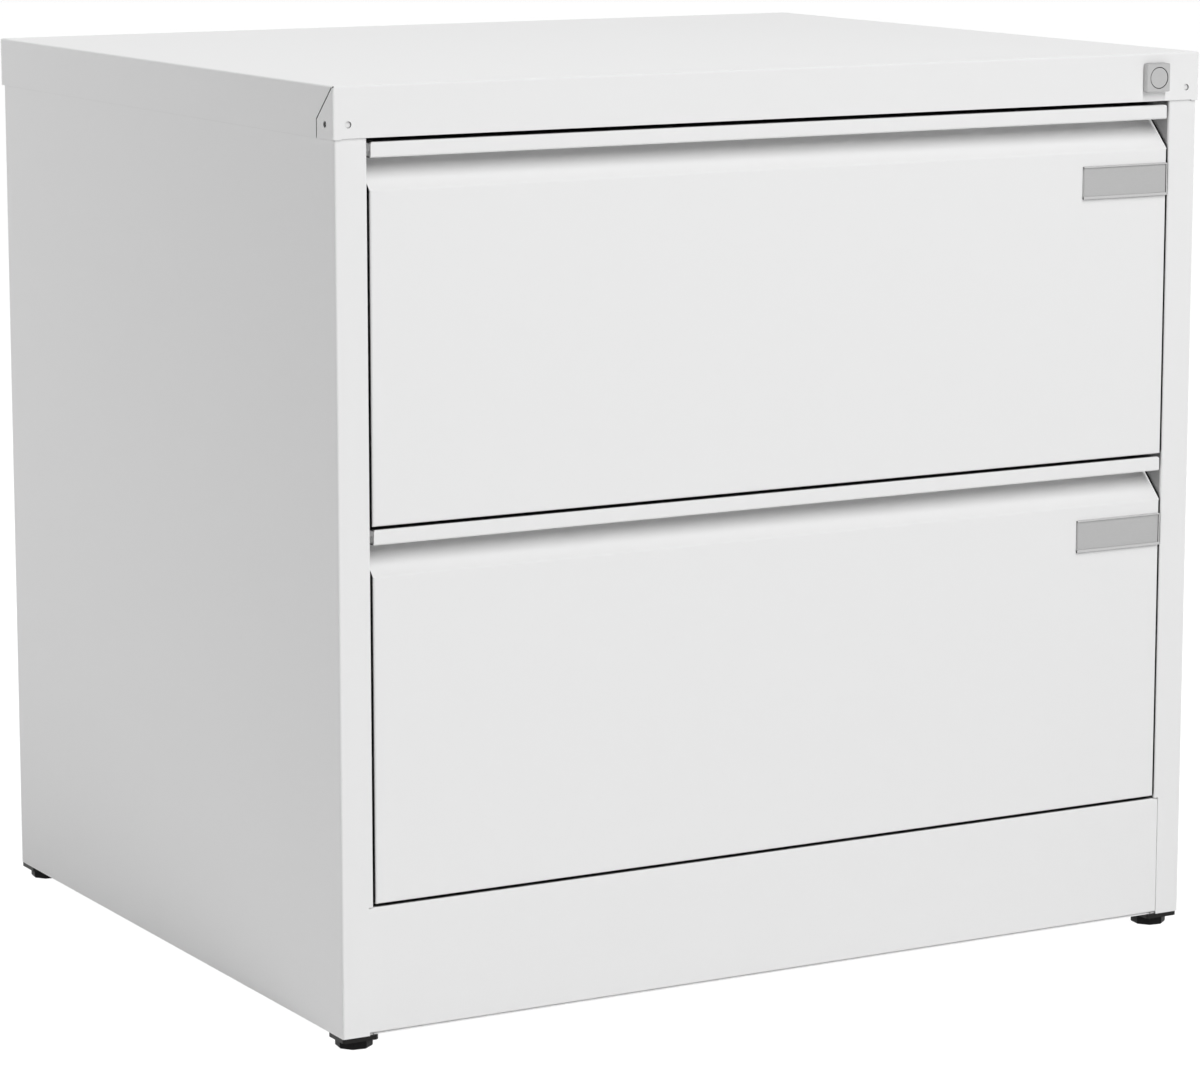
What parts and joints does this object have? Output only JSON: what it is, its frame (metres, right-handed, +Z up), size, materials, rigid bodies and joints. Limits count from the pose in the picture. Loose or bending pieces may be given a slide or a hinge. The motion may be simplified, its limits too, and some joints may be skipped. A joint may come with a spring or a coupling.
{
  "type": "side filing cabinet",
  "caption": "Wide white steel filing cabinet: two drawers with a folded grip along their top edge, a lid with a lock, a plinth and black levelling feet.",
  "frame": {"origin": "on the floor, under the middle of the space that the cabinet with its lock takes", "axes": "+X to the right seen from the front, +Y from the drawers' fronts to the back, +Z up; drawers shut"},
  "size_m": [0.762, 0.628, 0.71],
  "materials": {
    "white_powder_coat": "fine powder coat, semi-matt",
    "zinc_plated_steel": "bright zinc plating on cold-rolled sheet",
    "satin_nickel": "satin nickel plating on a die casting",
    "grey_plastic": "moulded, satin",
    "grey_card": "blank",
    "black_steel": "black paint, matt",
    "black_plastic": "moulded, matt"
  },
  "bodies": {
    "carcass": {"back_panel": "white_powder_coat", "back_panel_screws": "zinc_plated_steel", "base_tray": "white_powder_coat", "bottom_runner_left_outer": "zinc_plated_steel", "bottom_runner_right_outer": "zinc_plated_steel", "foot_plates": "black_steel", "lid": "white_powder_coat", "lock_bar_guides": "zinc_plated_steel", "lock_housing": "satin_nickel", "lock_nut": "zinc_plated_steel", "middle_rail": "white_powder_coat", "plinth_panel": "white_powder_coat", "side_panel_left": "white_powder_coat", "side_panel_right": "white_powder_coat", "top_rail": "white_powder_coat", "top_runner_left_outer": "zinc_plated_steel", "top_runner_right_outer": "zinc_plated_steel", "upright_front_left": "white_powder_coat", "upright_front_right": "white_powder_coat", "upright_rear_left": "white_powder_coat", "upright_rear_right": "white_powder_coat"},
    "top_drawer": {"top_drawer_back": "white_powder_coat", "top_drawer_file_bar": "white_powder_coat", "top_drawer_floor": "white_powder_coat", "top_drawer_front": "white_powder_coat", "top_drawer_inner_front": "white_powder_coat", "top_drawer_label_holder": "grey_plastic", "top_drawer_lock_catch": "zinc_plated_steel", "top_drawer_side_left": "white_powder_coat", "top_drawer_side_right": "white_powder_coat", "top_runner_left_inner": "zinc_plated_steel", "top_runner_right_inner": "zinc_plated_steel"},
    "bottom_drawer": {"bottom_drawer_back": "white_powder_coat", "bottom_drawer_file_bar": "white_powder_coat", "bottom_drawer_floor": "white_powder_coat", "bottom_drawer_front": "white_powder_coat", "bottom_drawer_inner_front": "white_powder_coat", "bottom_drawer_label_holder": "grey_plastic", "bottom_drawer_lock_catch": "zinc_plated_steel", "bottom_drawer_side_left": "white_powder_coat", "bottom_drawer_side_right": "white_powder_coat", "bottom_runner_left_inner": "zinc_plated_steel", "bottom_runner_right_inner": "zinc_plated_steel"},
    "top_middle_members": {"top_runner_left_middle": "zinc_plated_steel", "top_runner_right_middle": "zinc_plated_steel"},
    "top_outer_cages": {"top_runner_outer_cages": "zinc_plated_steel"},
    "top_inner_cages": {"top_runner_inner_cages": "zinc_plated_steel"},
    "top_label_card": {"top_drawer_label_card": "grey_card"},
    "bottom_middle_members": {"bottom_runner_left_middle": "zinc_plated_steel", "bottom_runner_right_middle": "zinc_plated_steel"},
    "bottom_outer_cages": {"bottom_runner_outer_cages": "zinc_plated_steel"},
    "bottom_inner_cages": {"bottom_runner_inner_cages": "zinc_plated_steel"},
    "bottom_label_card": {"bottom_drawer_label_card": "grey_card"},
    "lock_plug": {"lock_barrel": "satin_nickel", "lock_cam": "zinc_plated_steel"},
    "lock_bar": {"lock_bar": "zinc_plated_steel"},
    "foot_front_left": {"foot_front_left": "black_plastic"},
    "foot_front_right": {"foot_front_right": "black_plastic"},
    "foot_rear_left": {"foot_rear_left": "black_plastic"},
    "foot_rear_right": {"foot_rear_right": "black_plastic"}
  },
  "joints": [
    {"name": "top_drawer_slide", "type": "slide", "parent": "carcass", "child": "top_drawer", "axis": [0, -1, 0], "range_m": [0, 0.55]},
    {"name": "top_middle_slide", "type": "slide", "parent": "carcass", "child": "top_middle_members", "axis": [0, -1, 0], "range_m": [0, 0.275]},
    {"name": "top_outer_cage_slide", "type": "slide", "parent": "carcass", "child": "top_outer_cages", "axis": [0, -1, 0], "range_m": [0, 0.1375]},
    {"name": "top_inner_cage_slide", "type": "slide", "parent": "carcass", "child": "top_inner_cages", "axis": [0, -1, 0], "range_m": [0, 0.4125]},
    {"name": "top_label_card_slide", "type": "slide", "parent": "top_drawer", "child": "top_label_card", "axis": [-1, 0, 0], "range_m": [0, 0.082]},
    {"name": "bottom_drawer_slide", "type": "slide", "parent": "carcass", "child": "bottom_drawer", "axis": [0, -1, 0], "range_m": [0, 0.55]},
    {"name": "bottom_middle_slide", "type": "slide", "parent": "carcass", "child": "bottom_middle_members", "axis": [0, -1, 0], "range_m": [0, 0.275]},
    {"name": "bottom_outer_cage_slide", "type": "slide", "parent": "carcass", "child": "bottom_outer_cages", "axis": [0, -1, 0], "range_m": [0, 0.1375]},
    {"name": "bottom_inner_cage_slide", "type": "slide", "parent": "carcass", "child": "bottom_inner_cages", "axis": [0, -1, 0], "range_m": [0, 0.4125]},
    {"name": "bottom_label_card_slide", "type": "slide", "parent": "bottom_drawer", "child": "bottom_label_card", "axis": [-1, 0, 0], "range_m": [0, 0.082]},
    {"name": "lock_turn", "type": "hinge", "parent": "carcass", "child": "lock_plug", "pos_m": [0.3379, -0.3, 0.691], "axis": [0, -1, 0], "range_deg": [0, 90]},
    {"name": "lock_bar_lift", "type": "slide", "parent": "carcass", "child": "lock_bar", "axis": [0, 0, 1], "range_m": [0, 0.01414]},
    {"name": "foot_front_left_screw", "type": "slide", "parent": "carcass", "child": "foot_front_left", "axis": [0, 0, -1], "range_m": [0, 0.012]},
    {"name": "foot_front_right_screw", "type": "slide", "parent": "carcass", "child": "foot_front_right", "axis": [0, 0, -1], "range_m": [0, 0.012]},
    {"name": "foot_rear_left_screw", "type": "slide", "parent": "carcass", "child": "foot_rear_left", "axis": [0, 0, -1], "range_m": [0, 0.012]},
    {"name": "foot_rear_right_screw", "type": "slide", "parent": "carcass", "child": "foot_rear_right", "axis": [0, 0, -1], "range_m": [0, 0.012]}
  ],
  "couplings": [
    {"joint": "top_middle_slide", "follows": "top_drawer_slide", "ratio": 0.5},
    {"joint": "top_outer_cage_slide", "follows": "top_drawer_slide", "ratio": 0.25},
    {"joint": "top_inner_cage_slide", "follows": "top_drawer_slide", "ratio": 0.75},
    {"joint": "bottom_middle_slide", "follows": "bottom_drawer_slide", "ratio": 0.5},
    {"joint": "bottom_outer_cage_slide", "follows": "bottom_drawer_slide", "ratio": 0.25},
    {"joint": "bottom_inner_cage_slide", "follows": "bottom_drawer_slide", "ratio": 0.75},
    {"joint": "lock_turn", "follows": "lock_bar_lift", "rad_per_m": 111.11}
  ]
}
